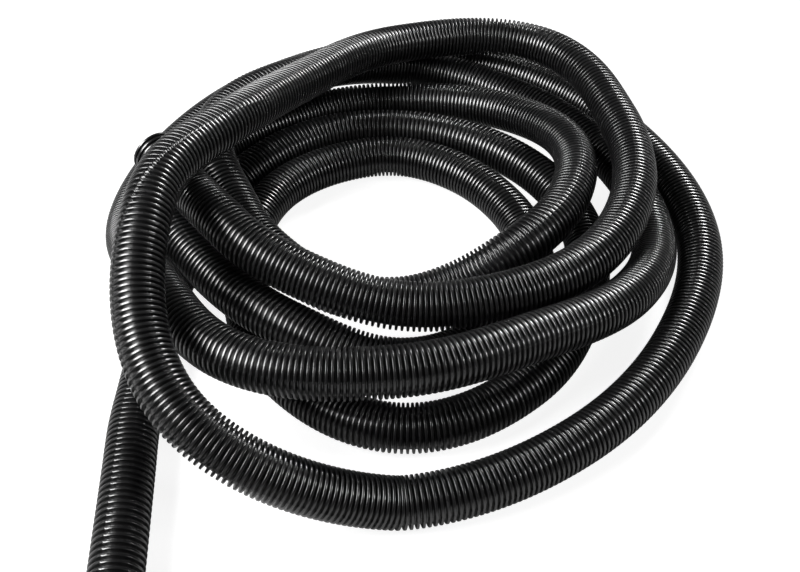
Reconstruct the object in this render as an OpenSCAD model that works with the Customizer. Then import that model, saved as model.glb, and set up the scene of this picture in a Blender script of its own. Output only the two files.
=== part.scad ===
// Corrugated pool vacuum hose, lying in a loose pile of six turns with its
// tail pulled out straight. One end is cut bare, the other carries a swivel
// cuff whose socket takes a standard pipe or tool spigot.
// Origin: middle of the whole part, on the surface that it lies on. +Z is up.

/* [Hose] */
// Outer diameter over the ribs
hose_od = 44; // [40:1:48]
// Depth of the groove between two ribs
groove_depth = 4; // [3:0.5:4.5]
// Wall of the corrugated skin
hose_wall = 0.8; // [0.6:0.1:1.2]
// Ribs along the straight tail
tail_ribs = 76; // [60:1:90]
// Length of the straight tail
tail_length = 410; // [400:10:500]

/* [Lay of the pile] */
// Middle of the pile, left or right of the origin
pile_x = -15; // [-40:1:40]
// Middle of the pile, before or behind the origin
pile_y = 133; // [100:1:200]

/* [End sleeve] */
// Number of ribs that the sleeve grips
gripped_ribs = 5; // [3:1:8]
// Wall of the sleeve round the hose
sleeve_wall = 3.2; // [2.4:0.2:4.4]
// Thickness of the sleeve's inner stop, which the hose end meets
stop_thickness = 4; // [3:0.5:6]
// Wall of the sleeve's neck, inside the swivel cuff
neck_wall = 3.2; // [2.4:0.2:4.2]
// Thickness of the flange on the neck's end
flange_thickness = 4; // [3:0.5:6]
// How far the flange stands out from the neck
flange_height = 3.6; // [2.6:0.2:4.6]

/* [Swivel cuff] */
// Inner diameter of the cuff's socket
socket_bore = 38.1; // [32:0.1:40]
// Depth of the cuff's socket
socket_depth = 44; // [30:1:60]
// Wall of the cuff round its chamber
cuff_wall = 3; // [2.4:0.2:4]
// Thickness of the web between chamber and socket
web_thickness = 4; // [3:0.5:6]
// Number of grip ribs round the cuff
grip_ribs = 24; // [12:1:30]
// Radius of a grip rib
grip_radius = 1.6; // [1:0.1:2]

/* [Rings] */
// Thickness of the retaining ring
retainer_thickness = 6; // [4:0.5:8]
// Thickness of the wear ring
wear_thickness = 1.7; // [1.2:0.1:2.5]
// Thickness of the seal ring's round section
seal_section = 3.4; // [2.4:0.2:4]

/* [Clearances] */
// Radial clearance between sleeve and hose
hose_clearance = 0.2; // [0.1:0.05:0.4]
// Radial clearance of the turning fit
running_clearance = 0.08; // [0.04:0.01:0.1]
// Gap between a turning face and its neighbour
face_gap = 0.3; // [0.2:0.05:0.5]

/* [Hidden] */
$fn = 96;

hose_r = hose_od / 2;
valley_r = hose_r - groove_depth;
bore_r = valley_r - hose_wall;

// The lay below is set out for a hose of this diameter, and grows with it.
lay_od = 44;
lay = hose_od / lay_od;

// A length on the floor is pressed flat by a tenth of its diameter.
floor_axis = 0.4 * hose_od;

// The pile's turns, clockwise from above. Each pair is one hour of the clock,
// from nine o'clock on: reach from the middle, height above a floor length.
turns = [
  // first turn, on the floor
  [208, 0], [197, 0], [194, 0], [184, 0], [180, 0], [182, 0],
  [190, 0], [202, 0], [230, 0], [248, 0], [216, 0], [174, 0],
  // second turn: the innermost, then up over the first at the front
  [156, 0], [148, 0], [138, 0], [132, 0], [122, 0], [120, 0],
  [130, 0], [148, 4], [170, 12], [196, 26], [196, 46], [204, 48],
  // third turn: over the first at the left, then outside it at the back
  [232, 47], [242, 10], [241, 0], [240, 0], [236, 12], [210, 38],
  [168, 50], [136, 50], [110, 24], [111, 18], [126, 28], [145, 48],
  // fourth turn: over the first and third at the left, down outside them at the back
  [167, 50], [227, 60], [246, 52], [298, 12], [284, 0], [268, 0],
  [260, 6], [247, 40], [228, 61], [247, 75], [271, 77], [256, 60],
  // fifth turn: the outermost, then high over the left side
  [278, 14], [294, 3], [321, 0], [346, 0], [332, 0], [314, 0],
  [308, 0], [297, 0], [303, 0], [323, 0], [339, 79], [246, 145],
  // sixth turn: on top all the way to the cut end
  [172, 134], [158, 112], [182, 78], [275, 58], [331, 50], [271, 56],
  [232, 60], [204, 64], [178, 66], [165, 66], [165, 80], [182, 96],
];
rings_per_hour = 2;
degrees_per_hour = 30;
nine_oclock = -90;

// The straight start and the straight cut end of the pile, from its middle.
lead_in = [[-229, -156, 0], [-229, -112, 0], [-226, -74, 0], [-218, -36, 0]];
lead_out = [[-176, -69, 96], [-194, -46, 96], [-216, -22, 102], [-238, 2, 108]];

// The tail's sideways place at even steps, from the pile to the sleeve.
tail_places = [-229, -229, -229, -225, -221, -217, -213, -210, -210, -210];
// How far it has risen towards the sleeve's height at the same steps.
tail_rises = [0, 0, 0, 0, 0, 0, 0.4, 1, 1, 1];

coil_sides = 6;
tail_sides = 8;
rings_per_rib = 2;

// Sizes along the cuff's axis, from the end of the hose outwards.
tail_pitch = tail_length / tail_ribs;
grip_length = gripped_ribs * tail_pitch;
neck_r = bore_r + neck_wall;
flange_r = neck_r + flange_height;
chamber_r = flange_r + 1;
cuff_r = max(chamber_r, socket_bore / 2 + 2) + cuff_wall;
sleeve_r = hose_r + hose_clearance + sleeve_wall;
cuff_back = stop_thickness + face_gap;
retainer_front = cuff_back + retainer_thickness;
wear_front = retainer_front + wear_thickness;
flange_back = wear_front + face_gap;
flange_front = flange_back + flange_thickness;
seal_front = flange_front + face_gap + seal_section;
web_back = seal_front + 0.1;
socket_back = web_back + web_thickness;
cuff_front = socket_back + socket_depth;
seal_mid_r = (neck_r + chamber_r) / 2;

// The cuff lies on the floor on its grip ribs.
cuff_axis = cuff_r + grip_radius / 2;
tail_end = [pile_x + tail_places[len(tail_places) - 1] * lay,
            pile_y + lead_in[0][1] * lay - tail_length,
            cuff_axis];

// ---- curves -------------------------------------------------------------

function unit(v) = v / norm(v);

// Smooth curve through p1 and p2, with p0 and p3 as the points beyond.
function smooth(p0, p1, p2, p3, f) =
  (2 * p1 + (p2 - p0) * f + (2 * p0 - 5 * p1 + 4 * p2 - p3) * f * f
   + (3 * p1 - p0 - 3 * p2 + p3) * f * f * f) / 2;

// Value of a list of evenly spaced numbers or points at a place between them.
function at(list, place) =
  let (last = len(list) - 1,
       i = min(floor(place), last - 1))
  smooth(list[max(i - 1, 0)], list[i], list[i + 1], list[min(i + 2, last)], place - i);

// Direction of a line of points at one of them.
function heading(points, i) =
  unit(points[min(i + 1, len(points) - 1)] - points[max(i - 1, 0)]);

// ---- route --------------------------------------------------------------

function from_pile(p) = [pile_x, pile_y, floor_axis] + p * lay;

function turn_point(hour) =
  let (polar = at(turns, hour),
       angle = nine_oclock + degrees_per_hour * hour)
  [polar[0] * sin(angle), polar[0] * cos(angle), max(polar[1], 0)];

hours = len(turns) - 1;
coil_route = [
  for (p = lead_in) from_pile(p),
  for (i = [0 : hours * rings_per_hour]) from_pile(turn_point(i / rings_per_hour)),
  for (p = lead_out) from_pile(p),
];

tail_rings = tail_ribs * rings_per_rib;
tail_route = [
  for (i = [0 : tail_rings])
    let (place = i / tail_rings * (len(tail_places) - 1))
    [pile_x + at(tail_places, place) * lay,
     tail_end.y + tail_length * (1 - i / tail_rings),
     floor_axis + (cuff_axis - floor_axis) * at(tail_rises, place)],
];

function route_length(points) =
  let (steps = [for (i = [1 : len(points) - 1]) norm(points[i] - points[i - 1])])
  steps * [for (s = steps) 1];

// Least distance between two straight steps of the route, on points along them.
marks = [0 : 1 / 12 : 1];
function between(a, b, f) = a + (b - a) * f;
function step_distance(a, b, c, d) =
  min([for (f = marks) for (g = marks) norm(between(a, b, f) - between(c, d, g))]);

// Least gap between two lengths of the pile that aren't neighbours.
function least_gap(points) =
  let (far_apart = 3,
       last = len(points) - 2,
       reach = 3 * hose_od)
  min([for (i = [0 : last]) for (j = [i + far_apart : 1 : last])
         if (norm(points[i] + points[i + 1] - points[j] - points[j + 1]) / 2 < reach)
           step_distance(points[i], points[i + 1], points[j], points[j + 1])]) - hose_od;

// ---- tubes --------------------------------------------------------------

// One ring of points round the route, flat side down, kept off the floor.
function ring(centre, direction, radius, sides) =
  let (side = unit(cross(direction, [0, 0, 1])),
       up = cross(side, direction))
  [for (k = [0 : sides - 1])
     let (a = 90 + 360 * (k + 0.5) / sides,
          p = centre + radius * (cos(a) * side + sin(a) * up))
     [p.x, p.y, max(p.z, 0)]];

// Triangles between neighbouring rings, facing out or, for a bore, in.
function wall(first, rings, sides, outward) =
  [for (i = [0 : rings - 2]) for (k = [0 : sides - 1])
     let (a = first + i * sides + k,
          b = first + i * sides + (k + 1) % sides,
          c = b + sides,
          d = a + sides)
     for (t = outward ? [[a, b, c], [a, c, d]] : [[a, c, b], [a, d, c]]) t];

// Triangles that close the tube's end between an outer and an inner ring.
function rim(outer, inner, sides, at_start) =
  [for (k = [0 : sides - 1])
     let (a = outer + k,
          b = outer + (k + 1) % sides,
          c = inner + (k + 1) % sides,
          d = inner + k)
     for (t = at_start ? [[a, d, c], [a, c, b]] : [[a, b, c], [a, c, d]]) t];

// A tube with a bore: its outside and its bore each have rings of their own.
module tube(outside, bore, sides) {
  rings_out = len(outside);
  rings_in = len(bore);
  bore_start = rings_out * sides;
  polyhedron(
    points = [for (r = outside) for (p = r) p, for (r = bore) for (p = r) p],
    faces = concat(
      wall(0, rings_out, sides, true),
      wall(bore_start, rings_in, sides, false),
      rim(0, bore_start, sides, true),
      rim(bore_start - sides, bore_start + (rings_in - 1) * sides, sides, false)));
}

// ---- hose ---------------------------------------------------------------

module hose_coil() {
  last = len(coil_route) - 1;
  color("#1b1b1d")
    tube([for (i = [0 : last]) ring(coil_route[i], heading(coil_route, i), hose_r, coil_sides)],
         [for (i = [0 : last]) ring(coil_route[i], heading(coil_route, i), bore_r, coil_sides)],
         coil_sides);
}

module hose_tail() {
  color("#1b1b1d")
    tube([for (i = [0 : tail_rings])
            ring(tail_route[i], heading(tail_route, i),
                 i % rings_per_rib == 0 ? valley_r : hose_r, tail_sides)],
         [for (i = [0 : rings_per_rib : tail_rings])
            ring(tail_route[i], heading(tail_route, i), bore_r, tail_sides)],
         tail_sides);
}

// ---- cuff ---------------------------------------------------------------

// Puts a turned piece on the cuff's axis, with its +Z pointing out of the hose.
module on_cuff_axis() {
  translate(tail_end) rotate([90, 0, 0]) children();
}

// Square-cut ring between two radii, from one place along the axis to another.
module turned(inner, outer, back, front) {
  translate([0, 0, back])
    difference() {
      cylinder(r = outer, h = front - back);
      translate([0, 0, -1]) cylinder(r = inner, h = front - back + 2);
    }
}

// Tooth inside the sleeve that drops into one groove of the hose.
module groove_tooth(back) {
  tooth_reach = groove_depth * 0.45;
  root = tail_pitch * 0.24;
  tip = tail_pitch * 0.06;
  seat_r = hose_r + hose_clearance;
  rotate_extrude()
    polygon([[seat_r + 0.5, back - root], [seat_r, back - root],
             [seat_r - tooth_reach, back - tip], [seat_r - tooth_reach, back + tip],
             [seat_r, back + root], [seat_r + 0.5, back + root]]);
}

module end_sleeve() {
  color("#26262a") on_cuff_axis() {
    turned(hose_r + hose_clearance, sleeve_r, -grip_length, 0.001);
    turned(bore_r, sleeve_r, 0, stop_thickness);
    turned(bore_r, neck_r, stop_thickness - 0.001, flange_front);
    turned(bore_r, flange_r, flange_back, flange_front);
    for (n = [1 : gripped_ribs - 1]) groove_tooth(-n * tail_pitch);
  }
}

module swivel_cuff() {
  chamfer = 1.2;
  color("#26262a") on_cuff_axis() difference() {
    union() {
      turned(socket_bore / 2, cuff_r, cuff_back, cuff_front);
      turned(bore_r, cuff_r - 1, web_back, socket_back);
      for (n = [0 : grip_ribs - 1])
        rotate(360 * n / grip_ribs)
          translate([cuff_r - grip_radius / 2, 0, cuff_back + 4])
            cylinder(r = grip_radius, h = cuff_front - cuff_back - 10, $fn = 24);
    }
    translate([0, 0, cuff_back - 1])
      cylinder(r = chamber_r, h = web_back - cuff_back + 1);
    translate([0, 0, cuff_front - chamfer])
      cylinder(r1 = socket_bore / 2, r2 = socket_bore / 2 + chamfer, h = chamfer + 0.001);
  }
}

module retaining_ring() {
  color("#34343a") on_cuff_axis()
    turned(neck_r + running_clearance, chamber_r - running_clearance,
           cuff_back, retainer_front);
}

module wear_ring() {
  color("#d8d6cc") on_cuff_axis()
    turned(neck_r + face_gap, chamber_r - face_gap, retainer_front, wear_front);
}

module seal_ring() {
  color("#121212") on_cuff_axis()
    translate([0, 0, seal_front - seal_section / 2])
      rotate_extrude()
        translate([seal_mid_r, 0]) circle(d = seal_section, $fn = 32);
}

union() {
  echo(hose_length = route_length(coil_route) + route_length(tail_route));
  echo(least_gap_in_pile = least_gap(coil_route));
}
hose_coil();
hose_tail();
end_sleeve();
swivel_cuff();
retaining_ring();
wear_ring();
seal_ring();
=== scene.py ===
import math
import bpy
import numpy as np
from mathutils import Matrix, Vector


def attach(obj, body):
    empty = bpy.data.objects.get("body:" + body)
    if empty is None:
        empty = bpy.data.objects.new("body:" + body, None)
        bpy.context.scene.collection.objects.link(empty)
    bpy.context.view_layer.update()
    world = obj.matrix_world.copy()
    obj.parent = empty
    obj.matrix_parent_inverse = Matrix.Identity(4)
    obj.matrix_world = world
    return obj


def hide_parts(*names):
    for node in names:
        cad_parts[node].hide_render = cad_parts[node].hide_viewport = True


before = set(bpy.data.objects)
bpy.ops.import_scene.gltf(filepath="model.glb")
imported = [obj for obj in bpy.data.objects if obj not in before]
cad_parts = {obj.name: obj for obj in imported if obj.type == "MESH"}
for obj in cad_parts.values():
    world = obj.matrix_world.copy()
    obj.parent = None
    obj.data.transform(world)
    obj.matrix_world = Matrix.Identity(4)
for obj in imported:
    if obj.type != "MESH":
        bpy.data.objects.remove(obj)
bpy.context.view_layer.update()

MM = 0.001
PILE = np.array([-0.015, 0.133, 0.0])  # middle of the pile, on the floor
HOSE_R = 22 * MM


def new_object(name, data):
    made = bpy.data.objects.new(name, data)
    bpy.context.scene.collection.objects.link(made)
    return made


# ---- camera ---------------------------------------------------------------

CAMERA_PLACE = (-0.015, -0.637, 0.7172)
CAMERA_TILT = 45  # degrees from straight down
CAMERA_LENS = 45  # mm
CAMERA_SENSOR = 36  # mm

camera = new_object("camera", bpy.data.cameras.new("camera"))
camera.location = CAMERA_PLACE
camera.rotation_euler = (math.radians(CAMERA_TILT), 0, 0)
camera.data.lens = CAMERA_LENS
camera.data.sensor_width = CAMERA_SENSOR
bpy.context.scene.camera = camera

# ---- route of the hose ----------------------------------------------------

# Each pair is one hour of the clock, from nine o'clock on, clockwise from
# above: reach from the pile's middle, and height above a hose that lies on the
# floor, in mm. It is the CAD's route, but for the third pair of the sixth turn,
# which lies 8 mm further out and 8 mm further up here.
TURNS = [
    # first turn, on the floor
    (208, 0), (197, 0), (194, 0), (184, 0), (180, 0), (182, 0),
    (190, 0), (202, 0), (230, 0), (248, 0), (216, 0), (174, 0),
    # second turn: the innermost, then up over the first at the front
    (156, 0), (148, 0), (138, 0), (132, 0), (122, 0), (120, 0),
    (130, 0), (148, 4), (170, 12), (196, 26), (196, 46), (204, 48),
    # third turn: over the first at the left, then outside it at the back
    (232, 47), (242, 10), (241, 0), (240, 0), (236, 12), (210, 38),
    (168, 50), (136, 50), (110, 24), (111, 18), (126, 28), (145, 48),
    # fourth turn: over the first and third at the left, down outside them at the back
    (167, 50), (227, 60), (246, 52), (298, 12), (284, 0), (268, 0),
    (260, 6), (247, 40), (228, 61), (247, 75), (271, 77), (256, 60),
    # fifth turn: the outermost, then high over the left side
    (278, 14), (294, 3), (321, 0), (346, 0), (332, 0), (314, 0),
    (308, 0), (297, 0), (303, 0), (323, 0), (339, 79), (246, 145),
    # sixth turn: on top all the way to the cut end
    (172, 134), (158, 112), (190, 86), (275, 58), (331, 50), (271, 56),
    (232, 60), (204, 64), (178, 66), (165, 66), (165, 80), (182, 96),
]
LAST_HOUR = len(TURNS) - 1
STEPS_PER_HOUR = 10

# The straight start and the straight cut end of the pile, from its middle.
LEAD_IN = [(-229, -156, 0), (-229, -112, 0), (-226, -74, 0), (-218, -36, 0)]
LEAD_OUT = [(-176, -69, 96), (-194, -46, 96), (-216, -22, 102), (-238, 2, 108)]
STEPS_PER_LEAD = 8

# The tail's places left or right of the pile's middle, from the pile to the
# cuff, and its rises as shares of the way up to the cuff's axis.
TAIL_PLACES = [-229, -229, -229, -225, -221, -217, -213, -210, -210, -210]
TAIL_RISES = [0, 0, 0, 0, 0, 0, 0.4, 1, 1, 1]
TAIL_LENGTH = 410
TAIL_STEPS = 60
CUFF_AXIS = 28.8

SMOOTHING_STEP = 2 * MM
SMOOTHING_ROUNDS = 12


def at(values, place):
    """The smooth curve through evenly spaced values, at a place between them."""
    v = np.asarray(values, float)
    last = len(v) - 1
    i = min(int(place), last - 1)
    f = place - i
    p0, p1, p2, p3 = v[max(i - 1, 0)], v[i], v[i + 1], v[min(i + 2, last)]
    return (2 * p1 + (p2 - p0) * f + (2 * p0 - 5 * p1 + 4 * p2 - p3) * f ** 2
            + (3 * p1 - p0 - 3 * p2 + p3) * f ** 3) / 2


def turn_point(hour):
    """Where the hose lies at an hour of the pile, from the pile's middle."""
    reach, level = at(TURNS, hour)
    angle = math.radians(30 * hour - 90)
    return (reach * math.sin(angle), reach * math.cos(angle), max(level, 0))


def tail_points():
    """The tail, from the cuff's stop to the pile."""
    points = []
    for i in range(TAIL_STEPS):
        done = i / TAIL_STEPS
        place = (1 - done) * (len(TAIL_PLACES) - 1)
        y = LEAD_IN[0][1] - TAIL_LENGTH * (1 - done)
        rise = at(TAIL_RISES, place) * (CUFF_AXIS - HOSE_R / MM)
        points.append((at(TAIL_PLACES, place), y, rise))
    return points


def route():
    """The centreline from the cuff's stop to the cut end in metres, and the
    number of its points before the pile."""
    tail = tail_points()
    knots = LEAD_IN + [turn_point(0)]
    lead = [at(knots, k / STEPS_PER_LEAD) for k in range(STEPS_PER_LEAD * len(LEAD_IN))]
    pile = [turn_point(h / STEPS_PER_HOUR) for h in range(LAST_HOUR * STEPS_PER_HOUR + 1)]
    knots = [turn_point(LAST_HOUR - 0.5), turn_point(LAST_HOUR)] + LEAD_OUT
    end = [at(knots, 1 + (k + 1) / STEPS_PER_LEAD)
           for k in range(STEPS_PER_LEAD * len(LEAD_OUT))]
    points = np.array([tuple(p) for p in tail + lead + pile + end])
    on_floor = np.array([0, 0, HOSE_R / MM])
    return PILE + (points + on_floor) * MM, len(tail) + len(lead)


class Line:
    """A curve by arc length."""

    def __init__(self, points):
        steps = np.linalg.norm(np.diff(points, axis=0), axis=1)
        self.s = np.concatenate([[0], np.cumsum(steps)])
        self.points = points
        self.length = self.s[-1]

    def __call__(self, s):
        return np.stack([np.interp(s, self.s, self.points[:, k]) for k in range(3)], -1)

    def heading(self, s, reach=1.5 * MM):
        a = np.clip(s - reach, 0, self.length)
        b = np.clip(s + reach, 0, self.length)
        d = self(b) - self(a)
        return d / np.linalg.norm(d, axis=-1, keepdims=True)


def smooth_line(line):
    """The line in short even steps, with its corners rounded."""
    points = line(np.linspace(0, line.length, int(line.length / SMOOTHING_STEP) + 1))
    for _ in range(SMOOTHING_ROUNDS):
        inner = (points[:-2] + 2 * points[1:-1] + points[2:]) / 4
        points = np.vstack([points[:1], inner, points[-1:]])
    return Line(points)


centreline, pile_start = route()
traced = Line(centreline)
axis = smooth_line(traced)
hour_places = traced.s[pile_start::STEPS_PER_HOUR][:len(TURNS)] * axis.length / traced.length

# ---- ribs of the hose -----------------------------------------------------

# Pitch of the ribs, in mm. By distance from the cuff's stop in metres: even
# where the sleeve grips them, pulled out along the tail.
TAIL_PITCHES = [(0.0, 5.395), (0.045, 5.395), (0.10, 5.9), (0.20, 6.0), (0.36, 4.95),
                (0.42, 4.8)]
# By hour in the pile, as counted in the photo where each strand shows.
PILE_PITCHES = [
    (1, 5.2), (5, 5.3), (7, 4.8), (9, 4.6),
    (12, 5.2), (14, 4.7), (17, 5.1), (19, 4.9), (21.5, 4.6), (23, 5.4),
    (25, 5.1), (27, 4.8), (30, 5.5), (31.5, 4.6), (33, 5.4), (35, 4.5),
    (36, 6.0), (37, 5.0), (40, 4.8), (42, 5.7), (43, 4.7), (44, 5.2), (45.5, 4.5),
    (46.5, 5.1), (49, 5.0), (52, 4.7), (54, 5.0), (57.5, 4.5), (59.5, 5.6),
    (62, 5.4), (63.5, 4.6), (64.5, 6.0), (67, 4.6), (68, 4.2), (69, 4.7), (71, 4.6),
]
USUAL_PITCH = 4.7
# Share of a longer pitch that goes into the rib; the rest widens its groove.
RIB_SHARE = 0.5

# Half of one rib's section, from its foot up: places along the hose from the
# rib's middle, and radii, in mm, at the usual pitch.
ROOT_R = 18.1
CREST_R = 22.0
HALF_RIB = [(1.52, ROOT_R), (1.32, 20.3), (1.14, 21.45), (0.94, 21.9), (0.68, CREST_R)]
SECTION = np.array([(-x, r) for x, r in HALF_RIB] + HALF_RIB[::-1])
# The skin's inside follows it one wall further in. It is there only behind
# the two openings, where it can be seen.
INNER_ROOT_R = 17.3
INSIDE = np.array([(-1.3, INNER_ROOT_R), (-0.9, 20.9), (0.9, 20.9), (1.3, INNER_ROOT_R)])
RIBS_SEEN_IN_START = 9
RIBS_SEEN_IN_END = 16

# Places round the hose in degrees from a mould line, closer at the lines: two
# lines where the mould's halves meet, and two fainter ones between them.
QUARTER = [0, 2.5, 6, 12, 20, 29, 38.5, 48, 58, 68, 78, 84, 87.5]
AROUND = np.radians([90 * q + a for q in range(4) for a in QUARTER])
SIDES = len(AROUND)

# By hour: the first mould line's turn from straight up, towards the outside of
# the pile, in degrees, and how far the ribs of the two halves miss each other,
# as a share of the pitch.
LINES = np.array([
    (0, 20, 0.10), (12.5, -3, 0.06), (27, 5, 0.06), (45, 60, 0.05), (57.2, 82, 0.03),
    (58.1, 68, 0.10), (58.8, 46, 0.42), (59.0, 20, 0.5), (59.2, -2, 0.5),
    (59.5, -18, 0.45), (60.0, -28, 0.10), (60.9, -56, 0.05), (62.0, -68, 0.05),
    (66, -100, 0.05), (70.7, -108, 0.08), (71, -108, 0.05),
])
# The same at the fainter lines, as a share of the usual pitch.
FAINT_MISS = 0.05
# How far the moulding's fins stand out at the lines and at the fainter ones, in mm.
FIN = 0.30
FAINT_FIN = 0.14
# Under the sleeve and at the cut end the halves meet squarely. In metres: how far
# that reaches from each end of the hose, and how long the change takes.
SQUARE_AT_START = 0.05
SQUARE_AT_END = 0.004
CHANGE_AT_START = 0.03
CHANGE_AT_END = 0.01


def rib_pitch(s):
    """Pitch of the ribs at distances along the hose, in metres."""
    hours, pile = np.transpose(PILE_PITCHES)
    places, tail = np.transpose(TAIL_PITCHES)
    pile_places = np.interp(hours, np.arange(len(TURNS)), hour_places)
    return np.interp(s, np.concatenate([places, pile_places]),
                     np.concatenate([tail, pile])) * MM


def rib_middles():
    places, s = [], 0.0
    while True:
        pitch = rib_pitch(s)
        if s + pitch > axis.length:
            return np.array(places)
        places.append(s + pitch / 2)
        s += pitch


def frames(s):
    """Centre, heading, up and side of the hose at distances along it."""
    heading = axis.heading(s)
    side = np.cross(heading, (0, 0, 1))
    side /= np.linalg.norm(side, axis=-1, keepdims=True)
    return axis(s), heading, np.cross(side, heading), side


def rings(middles, section, turn, miss, stretch=1.0):
    """Ring points for every place of the section on every rib.

    turn is the first mould line's turn, miss the distance by which the halves
    miss each other, and stretch the rib's width against the usual one.
    """
    centre, heading, up, side = (a[:, None, None, :] for a in frames(middles))
    angle = (turn[:, None] + AROUND[None, :])[:, None, :, None]
    places = np.arange(SIDES)
    own_quarter = places // len(QUARTER)
    on_line = places % len(QUARTER) == 0

    half_sign = np.where(own_quarter < 2, 0.5, -0.5)
    half_sign[on_line & (own_quarter % 2 == 0)] = 0.0
    faint_sign = np.where(own_quarter % 2, -0.5, 0.5)
    faint_sign[on_line] = 0.0
    faint = np.where(miss > 0, FAINT_MISS * USUAL_PITCH * MM, 0.0)
    shift = miss[:, None] * half_sign + faint[:, None] * faint_sign
    along = (section[:, 0] * MM)[None, :, None, None] * np.reshape(stretch, (-1, 1, 1, 1))
    along = along + shift[:, None, :, None]

    fin = np.where(on_line, np.where(own_quarter % 2, FAINT_FIN, FIN), 0.0) * MM
    reach = (section[:, 1] * MM)[None, :, None, None] + fin[None, None, :, None]
    points = (centre + along * heading
              + reach * (np.cos(angle) * up - np.sin(angle) * side))
    centres = centre[:, :, 0, :] + section[None, :, 0, None] * MM * heading[:, :, 0, :]
    return points.reshape(-1, SIDES, 3), centres.reshape(-1, 3)


def plain_ring(s, radius, turn):
    """One round ring across the hose."""
    centre, heading, up, side = (a[0] for a in frames(np.array([s])))
    angle = turn + AROUND[:, None]
    return centre + radius * MM * (np.cos(angle) * up - np.sin(angle) * side)


def hose():
    """All rings of the hose from inside one end to inside the other, how high
    on a rib each lies (0 at the root, 1 on the crest), and the middle line."""
    middles = rib_middles()
    hour = np.interp(middles, hour_places, np.arange(len(TURNS)))
    turn = np.radians(np.interp(hour, LINES[:, 0], LINES[:, 1]))
    pitch = rib_pitch(middles)
    end = axis.length
    from_start = np.clip((middles - SQUARE_AT_START) / CHANGE_AT_START, 0, 1)
    from_end = np.clip((end - middles - SQUARE_AT_END) / CHANGE_AT_END, 0, 1)
    miss = pitch * np.interp(hour, LINES[:, 0], LINES[:, 2]) * from_start * from_end
    stretch = 1 + (pitch / (USUAL_PITCH * MM) - 1) * RIB_SHARE
    outer, centres = rings(middles, SECTION, turn, miss, stretch)

    near, far = middles[:RIBS_SEEN_IN_START], middles[-RIBS_SEEN_IN_END:]
    inner_start = rings(near, INSIDE, turn[:len(near)], near * 0)[0][::-1]
    inner_end = rings(far, INSIDE, turn[-len(far):], far * 0)[0][::-1]
    start_rim = [plain_ring(0, r, turn[0]) for r in (INNER_ROOT_R, ROOT_R)]
    end_rim = [plain_ring(end, r, turn[-1]) for r in (ROOT_R, INNER_ROOT_R)]
    every = np.concatenate([inner_start, start_rim, outer, end_rim, inner_end])

    height = (SECTION[:, 1] - ROOT_R) / (CREST_R - ROOT_R)
    heights = np.concatenate([np.zeros(len(inner_start) + len(start_rim)),
                              np.tile(height, len(middles)),
                              np.zeros(len(end_rim) + len(inner_end))])
    ends = axis(np.array([0.0, end]))
    return every, heights, np.concatenate([ends[:1], centres, ends[1:]])


def mesh_of(name, every):
    """A skin of quads over rings of SIDES points each."""
    count = len(every)
    j, k = np.meshgrid(np.arange(count - 1), np.arange(SIDES), indexing="ij")
    n = (k + 1) % SIDES
    quads = np.stack([j * SIDES + k, (j + 1) * SIDES + k,
                      (j + 1) * SIDES + n, j * SIDES + n], -1).reshape(-1, 4)
    mesh = bpy.data.meshes.new(name)
    mesh.vertices.add(count * SIDES)
    mesh.vertices.foreach_set("co", every.reshape(-1).astype(np.float32))
    mesh.loops.add(quads.size)
    mesh.loops.foreach_set("vertex_index", quads.reshape(-1).astype(np.int32))
    mesh.polygons.add(len(quads))
    mesh.polygons.foreach_set("loop_start", np.arange(0, quads.size, 4, dtype=np.int32))
    mesh.polygons.foreach_set("use_smooth", np.ones(len(quads), bool))
    mesh.update(calc_edges=True)
    return mesh


MAP_ROWS = 13
MAP_ROW_FILL = 0.96  # share of a row's height that the skin takes
MAP_SPARE = 1.02  # room along a row, as rows start and end on whole rings
MAP_MARGIN = 0.002
MAP_SIDE = 5  # the place round the hose where the rows' lengths are measured


def lay_out(mesh, every):
    """A map of the skin in rows, so that the whole length fits a square."""
    steps = np.linalg.norm(np.diff(every[:, MAP_SIDE], axis=0), axis=1)
    along = np.concatenate([[0], np.cumsum(steps)])
    row = np.minimum((along[:-1] / along[-1] * MAP_ROWS).astype(int), MAP_ROWS - 1)
    starts = np.array([along[:-1][row == r][0] for r in range(MAP_ROWS)])
    width = along[-1] / MAP_ROWS * MAP_SPARE
    u0 = (along[:-1] - starts[row]) / width
    u1 = (along[1:] - starts[row]) / width
    round_it = np.concatenate([AROUND, [2 * math.pi]]) / (2 * math.pi) * MAP_ROW_FILL
    v0, v1 = round_it[:-1], round_it[1:]
    u = np.stack([u0, u1, u1, u0], -1)[:, None, :].repeat(SIDES, 1)
    v = np.stack([v0, v0, v1, v1], -1)[None].repeat(len(u0), 0)
    v = (v + row[:, None, None] + (1 - MAP_ROW_FILL) / 2) / MAP_ROWS
    uv = np.stack([np.clip(u, 0, 1) * (1 - 2 * MAP_MARGIN) + MAP_MARGIN, v], -1)
    layer = mesh.uv_layers.new(name="OFBake")
    layer.uv.foreach_set("vector", uv.reshape(-1).astype(np.float32))


def note(mesh, name, values):
    """A number at every point, for the material to read."""
    layer = mesh.attributes.new(name, "FLOAT", "POINT")
    layer.data.foreach_set("value", np.asarray(values, np.float32).reshape(-1))


every, heights, path = hose()
hose_mesh = mesh_of("corrugated_hose", every)
lay_out(hose_mesh, every)
ring_steps = np.linalg.norm(np.diff(every.mean(1), axis=0), axis=1)
ring_places = np.concatenate([[0], np.cumsum(ring_steps)])
note(hose_mesh, "crest", np.repeat(heights, SIDES))
note(hose_mesh, "along", np.repeat(ring_places, SIDES))
note(hose_mesh, "round_x", np.tile(np.cos(AROUND), len(every)))
note(hose_mesh, "round_y", np.tile(np.sin(AROUND), len(every)))
hose_piece = new_object("corrugated_hose", hose_mesh)
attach(hose_piece, "hose")
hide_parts("hose_coil", "hose_tail")

# ---- materials ------------------------------------------------------------


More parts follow.
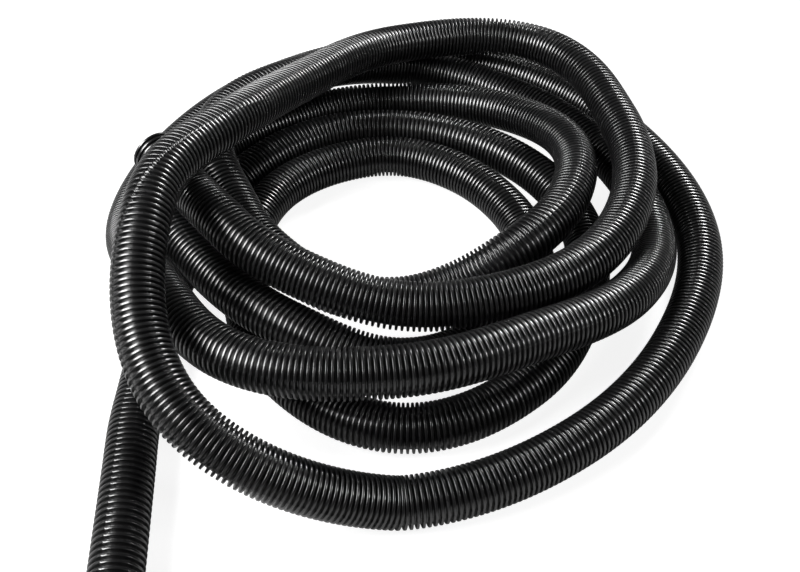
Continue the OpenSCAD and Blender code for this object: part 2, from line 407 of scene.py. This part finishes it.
class Nodes:
    """Short ways to add nodes to a tree and to join them."""

    def __init__(self, tree):
        self.tree = tree

    def add(self, kind, **settings):
        made = self.tree.nodes.new(kind)
        for key, value in settings.items():
            setattr(made, key, value)
        return made

    def put(self, value, socket):
        """Sets a socket to a number or colour, or links another node's output to it."""
        if isinstance(value, (int, float, tuple)):
            socket.default_value = value
        else:
            self.tree.links.new(value, socket)

    def math(self, operation, a, b):
        made = self.add("ShaderNodeMath", operation=operation)
        self.put(a, made.inputs[0])
        self.put(b, made.inputs[1])
        return made.outputs[0]

    def for_viewer(self, to_camera, to_mirrors):
        """A strength for what the camera sees itself and what it sees mirrored."""
        light_path = self.add("ShaderNodeLightPath").outputs
        mirrored = self.math("MAXIMUM", light_path["Is Glossy Ray"],
                             light_path["Is Transmission Ray"])
        return self.math("ADD", self.math("MULTIPLY", light_path["Is Camera Ray"], to_camera),
                         self.math("MULTIPLY", mirrored, to_mirrors))


class Shader(Nodes):
    """A material's nodes, made from the surface back."""

    def __init__(self, name, **sockets):
        self.material = bpy.data.materials.new(name)
        self.material.use_nodes = True
        super().__init__(self.material.node_tree)
        self.surface = self.tree.nodes["Principled BSDF"]
        for socket, value in sockets.items():
            self.feed(socket.replace("_", " "), value)

    def feed(self, socket, value):
        self.put(value, self.surface.inputs[socket])

    def attribute(self, name):
        return self.add("ShaderNodeAttribute", attribute_name=name).outputs["Fac"]

    def ramp(self, value, low, high, at_low, at_high):
        made = self.add("ShaderNodeMapRange")
        self.put(value, made.inputs["Value"])
        for socket, number in zip(("From Min", "From Max", "To Min", "To Max"),
                                  (low, high, at_low, at_high)):
            self.put(number, made.inputs[socket])
        return made.outputs["Result"]

    def noise(self, scale, vector=None, detail=3.0, rough=0.55):
        """Noise over the object, or over a vector of its own."""
        made = self.add("ShaderNodeTexNoise")
        self.put(scale, made.inputs["Scale"])
        self.put(detail, made.inputs["Detail"])
        self.put(rough, made.inputs["Roughness"])
        vector = vector or self.add("ShaderNodeTexCoord").outputs["Object"]
        self.put(vector, made.inputs["Vector"])
        return made.outputs["Fac"]

    def mix(self, amount, a, b):
        made = self.add("ShaderNodeMix", data_type="RGBA")
        self.put(amount, made.inputs[0])
        self.put(a, made.inputs[6])
        self.put(b, made.inputs[7])
        return made.outputs[2]

    def bump(self, height, distance, strength):
        made = self.add("ShaderNodeBump")
        self.put(distance, made.inputs["Distance"])
        self.put(strength, made.inputs["Strength"])
        self.put(height, made.inputs["Height"])
        self.feed("Normal", made.outputs["Normal"])


def hose_plastic():
    """Glossy black, with faint streaks along the ribs, scuffed crests and some dust."""
    m = Shader("hose_plastic", Specular_IOR_Level=0.9, Coat_Weight=0.75,
               Coat_Roughness=0.34, Coat_IOR=1.6)
    crest = m.attribute("crest")
    around = m.add("ShaderNodeCombineXYZ")
    for i, (name, factor) in enumerate((("along", 230.0), ("round_x", 1.5), ("round_y", 1.5))):
        m.put(m.math("MULTIPLY", m.attribute(name), factor), around.inputs[i])
    streaks = m.noise(1.0, around.outputs[0], 2.0, 0.5)
    patches = m.noise(14.0)
    specks = m.noise(900.0, None, 2.0, 0.5)

    scuff = m.math("MULTIPLY", m.ramp(streaks, 0.56, 0.74, 0.0, 1.0),
                   m.ramp(patches, 0.45, 0.68, 0.0, 1.0))
    scuff = m.math("MULTIPLY", scuff, m.ramp(crest, 0.6, 0.95, 0.0, 1.0))
    dust = m.math("MULTIPLY", m.ramp(specks, 0.70, 0.78, 0.0, 0.35),
                  m.ramp(patches, 0.5, 0.7, 0.2, 1.0))
    black = m.mix(m.ramp(patches, 0.3, 0.7, 0.0, 1.0),
                  (0.003, 0.003, 0.0034, 1), (0.006, 0.006, 0.0065, 1))
    worn = m.mix(scuff, black, (0.03, 0.03, 0.031, 1))
    m.feed("Base Color", m.mix(dust, worn, (0.12, 0.12, 0.115, 1)))
    m.feed("Roughness", m.math("ADD", m.ramp(streaks, 0.3, 0.7, 0.19, 0.26),
                               m.math("MULTIPLY", scuff, 0.12)))
    m.bump(specks, 0.00001, 0.1)
    return m.material


def cloudy(name, specular, scale, dark, light, smooth, rough):
    """A moulded material whose colour and roughness drift a little over its face."""
    m = Shader(name, Specular_IOR_Level=specular)
    cloud = m.noise(scale)
    m.feed("Base Color", m.mix(m.ramp(cloud, 0.3, 0.7, 0.0, 1.0), (*dark, 1), (*light, 1)))
    m.feed("Roughness", m.ramp(cloud, 0.3, 0.7, smooth, rough))
    return m


def grained(m, scale, depth, strength):
    """The same material with a fine moulded grain."""
    m.bump(m.noise(scale, None, 2.0, 0.5), depth, strength)
    return m.material


def cuff_plastic():
    m = cloudy("cuff_plastic", 0.45, 35.0, (0.012, 0.012, 0.013), (0.022, 0.022, 0.023),
               0.42, 0.55)
    return grained(m, 2600.0, 0.00006, 0.6)


def retainer_plastic():
    m = cloudy("retainer_plastic", 0.45, 60.0, (0.030, 0.030, 0.033), (0.045, 0.045, 0.048),
               0.38, 0.5)
    return grained(m, 2200.0, 0.00005, 0.5)


def wear_plastic():
    m = cloudy("wear_plastic", 0.5, 90.0, (0.64, 0.62, 0.56), (0.72, 0.70, 0.64), 0.22, 0.34)
    return m.material


def seal_rubber():
    m = cloudy("seal_rubber", 0.3, 120.0, (0.008, 0.008, 0.008), (0.016, 0.016, 0.016),
               0.6, 0.75)
    return grained(m, 3000.0, 0.00004, 0.5)


def give(node, material):
    """Puts a material on a CAD node."""
    if not node.material_slots:
        node.data.materials.append(None)
    for slot in node.material_slots:
        slot.material = material


hose_mesh.materials.append(hose_plastic())
cuff_material = cuff_plastic()
give(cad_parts["end_sleeve"], cuff_material)
give(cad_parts["swivel_cuff"], cuff_material)
give(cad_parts["retaining_ring"], retainer_plastic())
give(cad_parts["wear_ring"], wear_plastic())
give(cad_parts["seal_ring"], seal_rubber())

# ---- floor, light ---------------------------------------------------------

FLOOR_REACH = 6.0
FLOOR_LEVEL = -0.0005
# How bright the floor and the sky are by themselves: to the camera, and to the
# hose's mirroring. The sky's light comes on top and reaches everything.
FLOOR_SEEN = 0.88
FLOOR_MIRRORED = 0.02
WORLD_LIGHT = 0.025
WORLD_SEEN = 1 - WORLD_LIGHT
WORLD_MIRRORED = 0.00975
LAMP_AIM = Vector((0.0, 0.1, 0.05))

corners = [(-1, -1), (1, -1), (1, 1), (-1, 1)]
floor_mesh = bpy.data.meshes.new("floor")
floor_mesh.from_pydata([(x * FLOOR_REACH, y * FLOOR_REACH, 0) for x, y in corners], [],
                       [(0, 1, 2, 3)])
floor = new_object("floor", floor_mesh)
floor.location.z = FLOOR_LEVEL
# White to the camera where it is lit, a light grey in the hose's shadow, and
# dim where the hose mirrors it, as the photo's hose stays dark underneath.
paper = Shader("floor_paper", Base_Color=(0.38, 0.38, 0.38, 1), Roughness=0.9,
               Specular_IOR_Level=0.0, Emission_Color=(1.0, 1.0, 1.0, 1.0))
paper.feed("Emission Strength", paper.for_viewer(FLOOR_SEEN, FLOOR_MIRRORED))
floor_mesh.materials.append(paper.material)

world = bpy.data.worlds.new("studio")
bpy.context.scene.world = world
world.use_nodes = True
sky = Nodes(world.node_tree)
background = world.node_tree.nodes["Background"]
background.inputs["Color"].default_value = (1, 1, 1, 1)
# White where the camera sees it; only a little of it lights the hose.
sky.put(sky.math("ADD", sky.for_viewer(WORLD_SEEN, WORLD_MIRRORED), WORLD_LIGHT),
        background.inputs["Strength"])


def softbox(name, place, size, watts):
    data = bpy.data.lights.new(name, "AREA")
    data.shape = "RECTANGLE"
    data.size, data.size_y = size
    data.energy = watts
    lamp = new_object(name, data)
    lamp.location = place
    lamp.rotation_euler = (LAMP_AIM - Vector(place)).to_track_quat("-Z", "Y").to_euler()


softbox("softbox_left", (-1.28, -0.19, 1.27), (1.45, 0.8), 50)
softbox("softbox_back_right", (1.05, 1.60, 1.25), (0.5, 0.4), 25)
softbox("softbox_right", (1.61, -0.42, 1.11), (0.3, 0.3), 7)

bpy.context.scene.view_settings.view_transform = "Standard"
